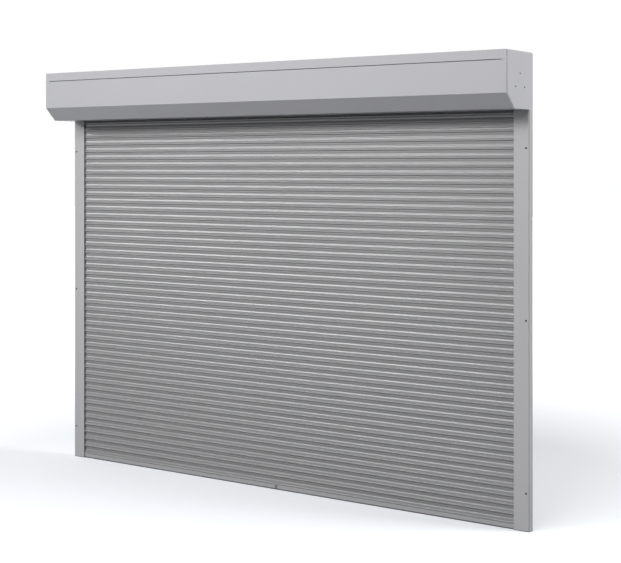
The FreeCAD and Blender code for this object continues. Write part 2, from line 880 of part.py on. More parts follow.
def mouth_brush():
    body = new_body("mouth_brush", (0, 0, box_base + size("cover_sheet")))
    front = -front_lip - size("brush_holder_width")
    rear = -front_lip
    tip = -curtain_front - size("brush_gap")
    height = size("brush_holder_height")
    low = (height - size("brush_thickness")) / 2
    high = low + size("brush_thickness")
    sketch = new_sketch(body, "YZ_Plane")
    draw(
        sketch,
        (front, 0),
        (rear, 0),
        (rear, low),
        (tip, low),
        (tip, high),
        (rear, high),
        (rear, height),
        (front, height),
    )
    pad(body, sketch, size("opening_width") - 2 * size("seal_end_gap"), middle=True)


def cable_grommet():
    """The rubber ring in the back cover that the motor's supply cable would leave through."""
    x = half_door - size("grommet_inset")
    place = (x, -size("cover_sheet") - size("cover_play"), box_top - size("grommet_drop"))
    body = new_body("cable_grommet", place, FACING_STREET)
    lip, hole = size("grommet_lip"), size("cover_sheet")
    bore, neck, flange = size("grommet_bore"), size("grommet_neck"), size("grommet_flange")
    sketch = new_sketch(body, "XZ_Plane")
    draw(
        sketch,
        (bore, -lip),
        (flange, -lip),
        (flange, 0),
        (neck, 0),
        (neck, hole),
        (flange, hole),
        (flange, hole + lip),
        (bore, hole + lip),
    )
    revolve(body, sketch)


# Drive. Every piece on the barrel's axis is drawn about the origin and placed on that axis.


def on_axis(label, near, far, *outlines, side=1):
    body = new_body(label, barrel_place)
    slab(body, side, near, far, *outlines)
    return body


def disc(radius):
    return lambda sketch: circle(sketch, (0, 0), radius)


def plug_profile(sketch):
    octagon(sketch, size("barrel_flats") - 2 * size("barrel_wall"))


def square_shaft(sketch):
    half = size("shaft_square") / 2
    rectangle(sketch, (-half, -half), (half, half))


barrel_right = half_door - size("barrel_right_gap")
barrel_left = half_door - size("barrel_left_gap")
motor_far = barrel_right + size("barrel_flange_wall") + size("motor_play")
motor_near = motor_far - size("motor_length")
bearing_far = bracket_face - size("bearing_step") / 2
bearing_near = bearing_far - size("bearing_width")


def barrel_tube():
    body = new_body("barrel_tube", (-barrel_left, barrel_place[1], barrel_place[2]))
    sketch = new_sketch(body, "YZ_Plane")
    octagon(sketch, size("barrel_flats"))
    octagon(sketch, size("barrel_flats") - 2 * size("barrel_wall"))
    pad(body, sketch, barrel_left + barrel_right)
    off = size("barrel_flats") / 2 * DIAGONAL
    hole = slanted_hole(body, (barrel_left - strap_span / 2, off, off), size("barrel_wall") * 1.1)
    row_of(body, [hole], "X_Axis", size("strap_count").number, strap_span)


def motor_bracket():
    body = on_axis(
        "motor_bracket",
        bracket_face,
        web_face,
        disc(size("bracket_radius")),
        lambda sketch: screw_circles(sketch, size("plate_screw_shank") + size("fit_gap")),
    )
    inside = size("motor_head_radius") + size("fit_gap")
    outside = inside + size("socket_wall")
    slab(body, 1, bracket_face - size("socket_length"), bracket_face, disc(outside), disc(inside))


def bearing_holder():
    body = on_axis(
        "bearing_holder",
        bracket_face,
        web_face,
        disc(size("bracket_radius")),
        lambda sketch: screw_circles(sketch, size("plate_screw_shank") + size("fit_gap")),
        side=-1,
    )
    inside = size("bearing_radius") + size("fit_gap")
    outside = disc(inside + size("holder_wall"))
    slab(body, -1, bracket_face - size("holder_length"), bearing_far, outside, disc(inside))
    slab(body, -1, bearing_far, bracket_face, outside, disc(size("bearing_radius") - size("bearing_step")))


def motor():
    on_axis("motor_tube", motor_near, motor_far, disc(size("motor_radius")))
    on_axis("motor_head", motor_far, bracket_face, disc(size("motor_head_radius")))
    shaft_end = motor_near - size("motor_play")
    shaft_start = shaft_end - size("shaft_length")
    on_axis("motor_output_shaft", shaft_start, shaft_end, square_shaft)
    wheel_start = shaft_start + (size("shaft_length") - size("wheel_length")) / 2
    on_axis("drive_wheel", wheel_start, wheel_start + size("wheel_length"), plug_profile, square_shaft)


def crown_ring():
    """Turns with the barrel round the motor tube, and drives the motor's limit switch."""
    bore = size("motor_radius") + size("motor_play")
    body = on_axis("crown_ring", barrel_right - size("crown_length"), barrel_right, plug_profile, disc(bore))
    flange_face = barrel_right + size("barrel_flange_wall")
    slab(body, 1, barrel_right, flange_face, disc(size("barrel_flange")), disc(bore))


def barrel_end_cap():
    bore = disc(size("pin_radius") + size("fit_gap"))
    near = barrel_left - size("cap_length")
    body = on_axis("barrel_end_cap", near, barrel_left, plug_profile, bore, side=-1)
    slab(body, -1, barrel_left, barrel_left + size("barrel_flange_wall"), disc(size("barrel_flange")), bore)


def idler_pin():
    """The pin that carries the barrel in the ball bearing. Its collar is between the cap and the bearing."""
    far = bearing_far + size("motor_play")
    body = on_axis("idler_pin", far - size("pin_length"), far, disc(size("pin_radius")), side=-1)
    collar_start = barrel_left + size("barrel_flange_wall")
    slab(body, -1, collar_start, bearing_near, disc(size("pin_radius") + size("bearing_ring") / 2))


def bearing():
    """Two rings with a round race each, and balls in a flat cage between them."""
    half = size("bearing_width") / 2
    centre = -(bearing_near + half)
    place = (centre, barrel_place[1], barrel_place[2])
    pitch = (size("bearing_radius") + size("pin_radius")) / 2
    race = size("ball_radius") + size("ball_gap")
    ring = size("bearing_ring")
    inner_face, outer_face = size("pin_radius") + ring, size("bearing_radius") - ring
    lean = [pitch - inner_face, outer_face - pitch]
    for label, face, back, deep, gap in (
        ("bearing_inner_ring", inner_face, size("pin_radius") + size("fit_gap"), pitch - race, lean[0]),
        ("bearing_outer_ring", outer_face, size("bearing_radius"), pitch + race, lean[1]),
    ):
        reach = Size("sqrt(%s)" % (race * race - gap * gap).text, math.sqrt((race * race - gap * gap).number))
        body = new_body(label, place)
        sketch = new_sketch(body, "XZ_Plane")
        draw(
            sketch,
            (-half, back),
            (-half, face),
            (-reach, face),
            ((0, deep), (reach, face)),
            (half, face),
            (half, back),
        )
        revolve(body, sketch, "H_Axis")
    count = int(size("ball_count").number)
    members = []
    for number in range(count):
        ball = doc.addObject("Part::Sphere", "bearing_ball_%d" % (number + 1))
        bind(ball, "Radius", size("ball_radius"))
        turn = 2 * math.pi * number / count
        bind(ball, "Placement.Base.x", place[0])
        bind(ball, "Placement.Base.y", place[1] + pitch * math.cos(turn))
        bind(ball, "Placement.Base.z", place[2] + pitch * math.sin(turn))
        members.append(ball)
    cage = new_body("ball_cage", place, kept=False)
    reach = size("ball_radius") * 0.6
    near = size("ball_radius")
    slab(cage, 1, near, near + size("cage_wall"), disc(pitch + reach), disc(pitch - reach))
    group("bearing_balls", members + [cage])


# Curtain. A slat is drawn with its crest line at Y 0 and its lower edge at Z 0.


def hook_steps(level):
    """From the front of the neck over the hook and down to the shoulder, for a neck that enters at level."""
    front = size("neck_setback")
    back = front + size("neck_wall")
    under = level + size("neck_height")
    top = under + size("hook_height")
    tip = back + size("hook_reach")
    shoulder = level - size("slat_rest")
    return [
        (front, top),
        (tip, top),
        (tip, under),
        (back, under),
        (back, shoulder),
        (size("slat_depth"), shoulder),
    ]


def draw_slat(sketch):
    gap, play = size("slat_gap"), size("hook_play")
    neck = size("neck_setback")
    wall, depth = size("slat_wall"), size("slat_depth")
    pitch = size("slat_pitch")
    crest_top = size("crest_rise") * 2 - gap
    face, face_rise = size("face_setback"), size("face_rise")
    bulge, bulge_rise = size("bulge_setback"), size("bulge_rise")
    brow, brow_rise = size("brow_setback"), size("brow_rise")
    valley = size("valley_setback")
    valley_top = size("valley_rise") + size("valley_flat")
    bead, bead_middle = size("bead_setback"), size("bead_middle")
    hook_back = neck + size("neck_wall") + size("hook_reach") + play
    lip_front = neck + size("neck_wall") + play
    lip_top = size("neck_height") - play
    room_top = size("neck_height") + size("hook_height") + play
    draw(
        sketch,
        (size("skirt_setback"), gap),
        ((0, size("crest_rise")), (size("skirt_setback"), crest_top)),
        (face, face_rise),
        ((bulge, bulge_rise), (brow, brow_rise)),
        ((size("slope_setback"), size("slope_rise")), (valley, size("valley_rise"))),
        (valley, valley_top),
        ((bead, bead_middle), (neck, size("bead_rise"))),
        *hook_steps(pitch),
        (depth, 0),
        (lip_front, 0),
        (lip_front, lip_top),
        (hook_back, lip_top),
        (hook_back, room_top),
        (neck - play, room_top),
        (neck - play, gap),
    )
    floor = room_top + wall
    draw(
        sketch,
        (wall * 1.7, floor),
        (face + wall * 1.3, face_rise),
        ((bulge + wall * 1.1, bulge_rise), (brow + wall, brow_rise - wall / 2)),
        (depth - wall, valley_top - wall * 2),
        (depth - wall, floor),
    )
    roof = pitch - size("slat_rest") - wall
    draw(
        sketch,
        (valley + wall, valley_top),
        (bead + wall * 1.2, bead_middle),
        (neck + wall, size("bead_rise")),
        (neck + wall, roof),
        (depth - wall, roof),
        (depth - wall, valley_top),
    )


def clip_bodies(label, base, count, edge):
    """End clips of a section: a plate over each slat's end with a plug inside its lower chamber."""
    play = size("clip_play")
    wall, depth = size("slat_wall"), size("slat_depth")
    floor = size("neck_height") + size("hook_height") + size("hook_play") + wall
    plate_top = size("slat_pitch") - wall * 2
    plug_front = size("bulge_setback") + wall * 2
    plug_top = size("bulge_rise") - wall
    bodies = []
    for side in (1, -1):
        body = new_body("%s_%s" % (label, named(side)), (0, -curtain_front, base), kept=False)
        plate = slab(
            body,
            side,
            edge,
            edge + size("clip_wall"),
            lambda sketch: rectangle(sketch, (size("face_setback"), floor), (depth - play, plate_top)),
        )
        plug = slab(
            body,
            side,
            edge - size("clip_plug"),
            edge,
            lambda sketch: rectangle(sketch, (plug_front, floor + play), (depth - wall - play, plug_top)),
        )
        if count > 1:
            row_of(body, [plate, plug], "Z_Axis", count, size("slat_pitch") * (count - 1))
        bodies.append(body)
    return bodies


def curtain():
    """The curtain in sections, each a row of separate slats hooked into one another."""
    sections = int(size("section_count").number)
    first = 0
    for number in range(1, sections + 1):
        count = slat_total // sections + (1 if number <= slat_total % sections else 0)
        base = size("rail_height") + first * size("slat_pitch")
        body = new_body("slat_section_%d" % number, (0, -curtain_front, base))
        sketch = new_sketch(body, "YZ_Plane")
        draw_slat(sketch)
        slat = pad(body, sketch, 2 * slat_half, middle=True)
        if count > 1:
            row_of(body, [slat], "Z_Axis", count, size("slat_pitch") * (count - 1))
        group("slat_end_clips_%d" % number, clip_bodies("end_clips_%d" % number, base, count, slat_half))
        first += count


# Bottom rail, its seal, end plugs and travel stop.

seal_middle = size("slat_depth") / 2 + size("rail_setback") / 2
seal_slot_floor = size("rail_bottom") + size("rail_wall")
seal_slot_roof = seal_slot_floor + size("seal_slot_height")


def bottom_rail():
    front, depth, wall = size("rail_setback"), size("slat_depth"), size("rail_wall")
    bottom, top = size("rail_bottom"), size("rail_height")
    mouth, slot = size("seal_mouth") / 2, size("seal_slot") / 2
    body = new_body("bottom_rail", (0, -curtain_front, 0))
    sketch = new_sketch(body, "YZ_Plane")
    draw(
        sketch,
        (front, bottom),
        (front, top - wall),
        (front + wall, top - size("slat_gap")),
        (size("neck_setback"), top - size("slat_gap")),
        *hook_steps(top),
        (depth, bottom),
        (seal_middle + mouth, bottom),
        (seal_middle + mouth, seal_slot_floor),
        (seal_middle + slot, seal_slot_floor),
        (seal_middle + slot, seal_slot_roof),
        (seal_middle - slot, seal_slot_roof),
        (seal_middle - slot, seal_slot_floor),
        (seal_middle - mouth, seal_slot_floor),
        (seal_middle - mouth, bottom),
    )
    rectangle(sketch, (front + wall, seal_slot_roof + wall), (depth - wall, top - 2 * wall))
    pad(body, sketch, 2 * slat_half, middle=True)


def bottom_seal():
    play = size("seal_play")
    mouth, slot = size("seal_mouth") / 2 - play, size("seal_slot") / 2 - play
    low, high = seal_slot_floor, seal_slot_roof - play
    roof = size("rail_bottom") - play
    half = (size("slat_depth") - size("rail_setback")) / 2 - play
    heel = roof * 0.3
    corner = heel * 0.3
    body = new_body("bottom_seal", (0, seal_middle - curtain_front, 0))
    sketch = new_sketch(body, "YZ_Plane")
    draw(
        sketch,
        (half - heel, 0),
        ((half - corner, corner), (half, heel)),
        (half, roof),
        (mouth, roof),
        (mouth, low),
        (slot, low),
        (slot, high),
        (-slot, high),
        (-slot, low),
        (-mouth, low),
        (-mouth, roof),
        (-half, roof),
        (-half, heel),
        ((corner - half, corner), (heel - half, 0)),
    )
    rectangle(sketch, (heel - half, heel * 0.8), (half - heel, roof - heel * 0.8))
    pad(body, sketch, size("opening_width") - 2 * size("seal_end_gap"), middle=True)


def rail_end_plug(side):
    wall, depth, play = size("rail_wall"), size("slat_depth"), size("clip_play")
    front = size("rail_setback")
    foot, top = size("rail_bottom") + play, size("rail_height") - wall
    body = new_body("rail_end_plug_" + named(side), (0, -curtain_front, 0))
    slab(
        body,
        side,
        slat_half,
        slat_half + size("rail_plug_wall"),
        lambda sketch: rectangle(sketch, (front + play, foot), (depth - play, top)),
    )
    low, high = seal_slot_roof + wall + play, size("rail_height") - 2 * wall - play
    slab(
        body,
        side,
        slat_half - size("clip_plug"),
        slat_half,
        lambda sketch: rectangle(sketch, (front + wall + play, low), (depth - wall - play, high)),
    )


def travel_stop():
    """The block on the middle of the rail that meets the box's lip when the door is open."""
    reach, foot, top = size("stop_reach"), size("stop_foot"), size("stop_top")
    corner = reach / 4
    body = new_body("travel_stop", (0, -curtain_front, 0))
    sketch = new_sketch(body, "YZ_Plane")
    draw(
        sketch,
        (size("rail_setback"), foot),
        (size("rail_setback"), top),
        (-reach, top),
        (-reach, foot + corner),
        (corner - reach, foot),
    )
    pad(body, sketch, size("stop_width"), middle=True)


# Hanger straps: each lies on the barrel's upper rear flat and comes down to the top slat.


def hanger_straps():
    wall = size("strap_wall")
    half = size("barrel_flats") / 2 * DIAGONAL
    reach = size("strap_on_flat") / 2 * DIAGONAL
    face = (barrel_place[1] + half, barrel_place[2] + half)
    leg_back = size("neck_setback") - curtain_front
    leg_top = curtain_top + size("neck_height") + size("hook_height")
    leg_foot = leg_top - size("strap_leg")
    up = (face[0] - reach, face[1] + reach)
    down = (face[0] + reach, face[1] - reach)
    out = wall * DIAGONAL
    count = int(size("strap_count").number)
    body = new_body("hanger_straps", (-strap_span / 2, 0, 0))
    sketch = new_sketch(body, "YZ_Plane")
    draw(
        sketch,
        up,
        (up[0] + out, up[1] + out),
        (down[0] + out, down[1] + out),
        (leg_back, leg_top + out),
        (leg_back, leg_foot),
        (leg_back - wall, leg_foot),
        (leg_back - wall, leg_top),
        down,
    )
    strap = pad(body, sketch, size("strap_width"), middle=True)
    hole = slanted_hole(body, (0, face[0] + out, face[1] + out), wall)
    row_of(body, [strap, hole], "X_Axis", count, strap_span)
    screws = []
    for number in range(count):
        x = strap_span * number / (count - 1) - strap_span / 2
        place = (x, face[0] + out, face[1] + out)
        length = wall + size("barrel_wall") * 2
        screws.append(screw("hanger_screw_%d" % (number + 1), place, SQUARE_TO_FLAT, "strap_screw", length))
    group("hanger_screws", screws)


def slanted_hole(body, place, depth):
    """A strap screw's hole, square to the barrel's upper rear flat. The place is on the flat's outside."""
    sketch = new_sketch(body, "XY_Plane")
    sketch.AttachmentOffset = FreeCAD.Placement(Vector(0, 0, 0), SQUARE_TO_FLAT)
    for axis, value in zip("xyz", place):
        bind(sketch, "AttachmentOffset.Base." + axis, value)
    circle(sketch, (0, 0), size("strap_screw_shank") + size("fit_gap"))
    return pocket(body, sketch, depth)


for side in (1, -1):
    guide_channel(side)
    guide_cover(side)
    guide_liner(side)
    guide_foot(side)
    guide_screws(side)
    inlet_funnel(side)
    end_plate(side)
    end_plate_screws(side)
    rail_end_plug(side)
top_cover()
back_cover()
inspection_cover()
cover_screws()
mouth_brush()
cable_grommet()
barrel_tube()
motor_bracket()
bearing_holder()
motor()
crown_ring()
barrel_end_cap()
idler_pin()
bearing()
curtain()
bottom_rail()
bottom_seal()
travel_stop()
hanger_straps()

# Nothing is written unless every object is sound.

doc.recompute()
for thing in doc.Objects:
    faults = {"Invalid", "Error"} & set(thing.State)
    if faults:
        raise ValueError("%s is %s" % (thing.Label, ", ".join(sorted(faults))))
for piece in pieces:
    if piece.Shape.isNull() or not piece.Shape.isValid() or not piece.Shape.Solids:
        raise ValueError("%s has no sound solid" % piece.Label)
for piece in pieces:
    piece.Shape.exportStep("parts/%s.step" % piece.Label)
print("%d nodes, %d slats" % (len(pieces), slat_total))
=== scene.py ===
import bpy
import bmesh
import json
import math
from mathutils import Matrix, Vector


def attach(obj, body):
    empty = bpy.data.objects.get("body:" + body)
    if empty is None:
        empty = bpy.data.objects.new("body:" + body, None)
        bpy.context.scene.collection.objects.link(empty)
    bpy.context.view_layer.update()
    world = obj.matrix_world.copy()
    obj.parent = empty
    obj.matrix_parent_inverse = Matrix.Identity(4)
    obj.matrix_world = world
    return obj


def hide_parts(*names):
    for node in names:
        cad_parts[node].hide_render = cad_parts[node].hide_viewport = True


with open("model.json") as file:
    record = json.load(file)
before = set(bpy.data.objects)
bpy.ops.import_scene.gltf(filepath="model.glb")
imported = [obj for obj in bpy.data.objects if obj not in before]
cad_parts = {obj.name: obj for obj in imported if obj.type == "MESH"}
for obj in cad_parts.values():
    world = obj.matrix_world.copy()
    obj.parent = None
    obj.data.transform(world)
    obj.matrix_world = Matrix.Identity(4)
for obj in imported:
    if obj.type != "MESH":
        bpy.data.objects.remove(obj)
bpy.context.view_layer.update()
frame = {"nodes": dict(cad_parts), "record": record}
nodes = frame["nodes"]
bpy.ops.object.select_all(action="DESELECT")

# Roller shutter door in metres. The wall is at y 0, the street is at negative y, the floor at z 0.


# Finishes, from small node groups that all read object coordinates.

def newMaterial(name):
    made = bpy.data.materials.new(name)
    made.use_nodes = True
    tree = made.node_tree
    return made, tree, tree.nodes["Principled BSDF"]


def objectPlace(tree, stretch=(1, 1, 1)):  # object coordinates, stretched
    coords = tree.nodes.new("ShaderNodeTexCoord")
    mapping = tree.nodes.new("ShaderNodeMapping")
    mapping.inputs["Scale"].default_value = stretch
    tree.links.new(coords.outputs["Object"], mapping.inputs["Vector"])
    return mapping.outputs["Vector"]


def noiseOn(tree, place, scale, detail=2):
    noise = tree.nodes.new("ShaderNodeTexNoise")
    noise.inputs["Scale"].default_value = scale
    noise.inputs["Detail"].default_value = detail
    tree.links.new(place, noise.inputs["Vector"])
    return noise.outputs["Fac"]


def rangeOf(tree, value, low, high, fromLow=0.3, fromHigh=0.7):  # noise lies mostly between 0.3 and 0.7
    ranged = tree.nodes.new("ShaderNodeMapRange")
    ranged.inputs["From Min"].default_value = fromLow
    ranged.inputs["From Max"].default_value = fromHigh
    ranged.inputs["To Min"].default_value = low
    ranged.inputs["To Max"].default_value = high
    tree.links.new(value, ranged.inputs["Value"])
    return ranged.outputs["Result"]


def tintedBy(tree, value, dark, light):  # a colour mix: socket 0 is its factor, 6 and 7 its colours
    mix = tree.nodes.new("ShaderNodeMix")
    mix.data_type = "RGBA"
    mix.inputs[6].default_value = (*dark, 1)
    mix.inputs[7].default_value = (*light, 1)
    tree.links.new(value, mix.inputs[0])
    return mix.outputs[2]


def bumpFrom(tree, shader, value, depth):
    bump = tree.nodes.new("ShaderNodeBump")
    bump.inputs["Distance"].default_value = depth
    tree.links.new(value, bump.inputs["Height"])
    tree.links.new(bump.outputs["Normal"], shader.inputs["Normal"])


def powderCoat(name, look):  # baked paint: fine orange peel and a cloudy gloss
    made, tree, shader = newMaterial(name)
    place = objectPlace(tree)
    clouded = rangeOf(tree, noiseOn(tree, place, look["cloudScale"]), 0, 1)
    darker = [part * (1 - look["spread"]) for part in look["colour"]]
    lighter = [part * (1 + look["spread"]) for part in look["colour"]]
    tree.links.new(tintedBy(tree, clouded, darker, lighter), shader.inputs["Base Color"])
    gloss = noiseOn(tree, place, look["glossScale"], detail=3)
    tree.links.new(rangeOf(tree, gloss, look["smooth"], look["rough"]), shader.inputs["Roughness"])
    bumpFrom(tree, shader, noiseOn(tree, place, look["peelScale"]), look["peelDepth"])
    shader.inputs["Specular IOR Level"].default_value = look["specular"]
    return made


def mouldedPlastic(name, look):
    made, tree, shader = newMaterial(name)
    place = objectPlace(tree)
    mottle = rangeOf(tree, noiseOn(tree, place, look["mottleScale"], detail=3), 0, 1)
    tree.links.new(tintedBy(tree, mottle, look["dark"], look["light"]), shader.inputs["Base Color"])
    gloss = noiseOn(tree, place, look["glossScale"], detail=3)
    tree.links.new(rangeOf(tree, gloss, look["smooth"], look["rough"]), shader.inputs["Roughness"])
    bumpFrom(tree, shader, noiseOn(tree, place, look["grainScale"]), look["grainDepth"])
    return made


def galvanisedSheet(name, look):  # zinc spangle
    made, tree, shader = newMaterial(name)
    cells = tree.nodes.new("ShaderNodeTexVoronoi")
    cells.inputs["Scale"].default_value = look["spangleScale"]
    tree.links.new(objectPlace(tree), cells.inputs["Vector"])
    grey = tree.nodes.new("ShaderNodeRGBToBW")
    tree.links.new(cells.outputs["Color"], grey.inputs["Color"])
    spangle = rangeOf(tree, grey.outputs["Val"], 0, 1, *look["cellRange"])
    tree.links.new(tintedBy(tree, spangle, look["dark"], look["light"]), shader.inputs["Base Color"])
    gloss = rangeOf(tree, grey.outputs["Val"], look["smooth"], look["rough"], *look["cellRange"])
    tree.links.new(gloss, shader.inputs["Roughness"])
    shader.inputs["Metallic"].default_value = 1.0
    return made


def turnedSteel(name, look):  # fine lathe rings round the X axis
    made, tree, shader = newMaterial(name)
    rings = noiseOn(tree, objectPlace(tree, look["stretch"]), look["ringScale"])
    tree.links.new(tintedBy(tree, rangeOf(tree, rings, 0, 1), look["dark"], look["light"]),
                   shader.inputs["Base Color"])
    tree.links.new(rangeOf(tree, rings, look["smooth"], look["rough"]), shader.inputs["Roughness"])
    bumpFrom(tree, shader, rings, look["ringDepth"])
    shader.inputs["Metallic"].default_value = 1.0
    return made


def bristles(name, look):  # thin dark strands, side by side along X
    made, tree, shader = newMaterial(name)
    strands = noiseOn(tree, objectPlace(tree, look["stretch"]), look["strandScale"])
    tree.links.new(tintedBy(tree, rangeOf(tree, strands, 0, 1), look["dark"], look["light"]),
                   shader.inputs["Base Color"])
    shader.inputs["Roughness"].default_value = look["rough"]
    bumpFrom(tree, shader, strands, look["strandDepth"])
    return made


bakedPaint = {"spread": 0.02, "smooth": 0.42, "rough": 0.5, "specular": 0.5, "peelScale": 700, "peelDepth": 0.00004}
paintLooks = {
    "boxPaint": {**bakedPaint, "colour": (0.42, 0.42, 0.438), "cloudScale": 1.3, "glossScale": 5},
    "endPlatePaint": {**bakedPaint, "colour": (0.435, 0.435, 0.455), "cloudScale": 2.2, "glossScale": 6},
    "guidePaint": {**bakedPaint, "colour": (0.43, 0.43, 0.443), "cloudScale": 1.1, "glossScale": 5},
    "slatPaint": {**bakedPaint, "colour": (0.22, 0.22, 0.224), "cloudScale": 0.9, "glossScale": 4,
                  "smooth": 0.19, "rough": 0.24, "specular": 0.6, "peelScale": 800, "peelDepth": 0.00003},
    "railPaint": {**bakedPaint, "colour": (0.37, 0.37, 0.38), "cloudScale": 1.2, "glossScale": 5,
                  "smooth": 0.4, "rough": 0.46},
    "motorPaint": {**bakedPaint, "colour": (0.09, 0.09, 0.10), "cloudScale": 8, "glossScale": 20, "spread": 0.05,
                   "smooth": 0.35, "rough": 0.45, "peelScale": 600, "peelDepth": 0.00005},
}
plasticLooks = {
    "blackPlastic": {"dark": (0.012, 0.012, 0.013), "light": (0.03, 0.03, 0.032), "mottleScale": 20,
                     "glossScale": 60, "smooth": 0.4, "rough": 0.6, "grainScale": 1500, "grainDepth": 0.00006},
    "whiteNylon": {"dark": (0.60, 0.60, 0.56), "light": (0.70, 0.70, 0.66), "mottleScale": 30,
                   "glossScale": 90, "smooth": 0.35, "rough": 0.5, "grainScale": 1200, "grainDepth": 0.00003},
    "sealRubber": {"dark": (0.09, 0.09, 0.092), "light": (0.13, 0.13, 0.133), "mottleScale": 15,
                   "glossScale": 45, "smooth": 0.6, "rough": 0.8, "grainScale": 900, "grainDepth": 0.0001},
}
steelLooks = {
    "springSteel": {"stretch": (40, 1, 1), "ringScale": 12, "ringDepth": 0.00002, "smooth": 0.22, "rough": 0.4,
                    "dark": (0.25, 0.26, 0.29), "light": (0.38, 0.39, 0.42)},
    "bearingSteel": {"stretch": (600, 1, 1), "ringScale": 6, "ringDepth": 0.00001, "smooth": 0.16, "rough": 0.3,
                     "dark": (0.48, 0.48, 0.48), "light": (0.62, 0.62, 0.62)},
    "screwSteel": {"stretch": (1, 1, 1), "ringScale": 400, "ringDepth": 0.00001, "smooth": 0.25, "rough": 0.4,
                   "dark": (0.25, 0.25, 0.25), "light": (0.40, 0.40, 0.40)},
    "darkScrewSteel": {"stretch": (1, 1, 1), "ringScale": 400, "ringDepth": 0.00001, "smooth": 0.35, "rough": 0.5,
                       "dark": (0.035, 0.035, 0.04), "light": (0.07, 0.07, 0.075)},
}
zincLooks = {
    "zincSheet": {"spangleScale": 90, "cellRange": (0.1, 0.9), "smooth": 0.3, "rough": 0.48,
                  "dark": (0.42, 0.43, 0.44), "light": (0.56, 0.57, 0.58)},
}
fibreLooks = {
    "brushFibre": {"stretch": (1, 0.02, 0.05), "strandScale": 2500, "strandDepth": 0.0004, "rough": 0.75,
                   "dark": (0.008, 0.008, 0.008), "light": (0.05, 0.05, 0.05)},
}
finishes = {}
for recipe, looks in ((powderCoat, paintLooks), (mouldedPlastic, plasticLooks), (turnedSteel, steelLooks),
                      (galvanisedSheet, zincLooks), (bristles, fibreLooks)):
    for name, look in looks.items():
        finishes[name] = recipe(name, look)
print("materials ready:", len(finishes))


# Every CAD node gets its finish, also the ones that a better piece stands in for further down.

nodeFinish = {  # part of the node's name: finish
    "end_plate": "endPlatePaint", "top_cover": "boxPaint", "back_cover": "boxPaint", "inspection_cover": "boxPaint",
    "guide_channel": "guidePaint", "guide_cover": "guidePaint", "guide_liner": "blackPlastic",
    "guide_foot": "blackPlastic", "inlet_funnel": "blackPlastic", "mouth_brush": "brushFibre",
    "cable_grommet": "sealRubber", "motor_bracket": "zincSheet", "motor_head": "blackPlastic",
    "motor_tube": "motorPaint", "bearing_holder": "zincSheet", "bearing_": "bearingSteel",
    "barrel_tube": "zincSheet", "drive_wheel": "whiteNylon", "crown_ring": "whiteNylon",
    "barrel_end_cap": "whiteNylon", "idler_pin": "bearingSteel", "hanger_straps": "springSteel",
    "motor_output_shaft": "bearingSteel", "bottom_rail": "railPaint", "bottom_seal": "sealRubber",
    "travel_stop": "railPaint", "rail_end_plug": "blackPlastic", "slat_section": "slatPaint",
    "slat_end_clips": "blackPlastic", "guide_screws": "darkScrewSteel", "end_plate_screws": "darkScrewSteel",
    "cover_screws": "darkScrewSteel", "hanger_screws": "screwSteel",
}


def finishFor(nodeName):  # the longest of the parts that the name holds decides
    return nodeFinish[max((part for part in nodeFinish if part in nodeName), key=len)]


for nodeName, node in nodes.items():
    chosen = finishes[finishFor(nodeName)]
    if not node.material_slots:
        node.data.materials.append(chosen)
    for held in node.material_slots:
        held.material = chosen
print("CAD nodes finished:", len(nodes))


# Small tools for shaping in edit mode and finishing.

def only(obj):
    bpy.ops.object.select_all(action="DESELECT")
    obj.select_set(True)
    bpy.context.view_layer.objects.active = obj


def openMesh(obj):  # edit mode with nothing selected
    only(obj)
    bpy.ops.object.mode_set(mode="EDIT")
    bpy.ops.mesh.select_mode(type="VERT")
    bpy.ops.mesh.select_all(action="DESELECT")


def closeMesh(obj):
    bpy.ops.mesh.select_mode(type="FACE")
    bpy.ops.mesh.select_all(action="SELECT")
    bpy.ops.mesh.normals_make_consistent(inside=False)
    bpy.ops.object.mode_set(mode="OBJECT")


def pickPoints(obj, wanted):
    shape = bmesh.from_edit_mesh(obj.data)
    for point in shape.verts:
        point.select = bool(wanted(point.co))
    shape.select_flush_mode()
    bmesh.update_edit_mesh(obj.data)


def pickFacing(obj, direction):  # the faces that look in a direction
    bpy.ops.mesh.select_mode(type="FACE")
    shape = bmesh.from_edit_mesh(obj.data)
    for face in shape.faces:
        face.select = face.normal.dot(Vector(direction)) > 0.9
    shape.select_flush_mode()
    bmesh.update_edit_mesh(obj.data)


def blockAt(place, size):  # a block at its size, open in edit mode
    bpy.ops.object.select_all(action="DESELECT")
    bpy.ops.mesh.primitive_cube_add(size=1, location=place)
    made = bpy.context.object
    openMesh(made)
    bpy.ops.mesh.select_all(action="SELECT")
    bpy.ops.transform.resize(value=size)
    return made


def applyModifier(obj, kind, **values):
    only(obj)
    modifier = obj.modifiers.new(kind, kind)
    for key, value in values.items():
        setattr(modifier, key, value)
    bpy.ops.object.modifier_apply(modifier=modifier.name)


def easeEdges(obj, radius, segments, degrees):  # where the faces turn by more than so many degrees
    applyModifier(obj, "BEVEL", width=radius, segments=segments, limit_method="ANGLE",
                  angle_limit=math.radians(degrees))


def repeat(obj, count, step):
    applyModifier(obj, "ARRAY", count=count, use_relative_offset=False, use_constant_offset=True,
                  constant_offset_displace=step)


def smoothUnder(obj, degrees):
    only(obj)
    bpy.ops.object.shade_smooth_by_angle(angle=math.radians(degrees))


def settle(obj):  # the place goes into the mesh, and the object sits at the origin
    only(obj)
    bpy.ops.object.transform_apply(location=True, rotation=True, scale=True)


def copyOf(shape):
    made = shape.copy()
    made.data = shape.data.copy()
    bpy.context.scene.collection.objects.link(made)
    return made


def joinAll(pieces):
    only(pieces[0])
    for piece in pieces[1:]:
        piece.select_set(True)
    bpy.ops.object.join()
    return pieces[0]


def pieceNameOf(nodeName):  # top_cover gives topCover
    first, *rest = nodeName.split("_")
    return first + "".join(word.capitalize() for word in rest)


bodyOf = {name: body for body, names in frame["record"]["behaviour"]["bodies"].items() for name in names}


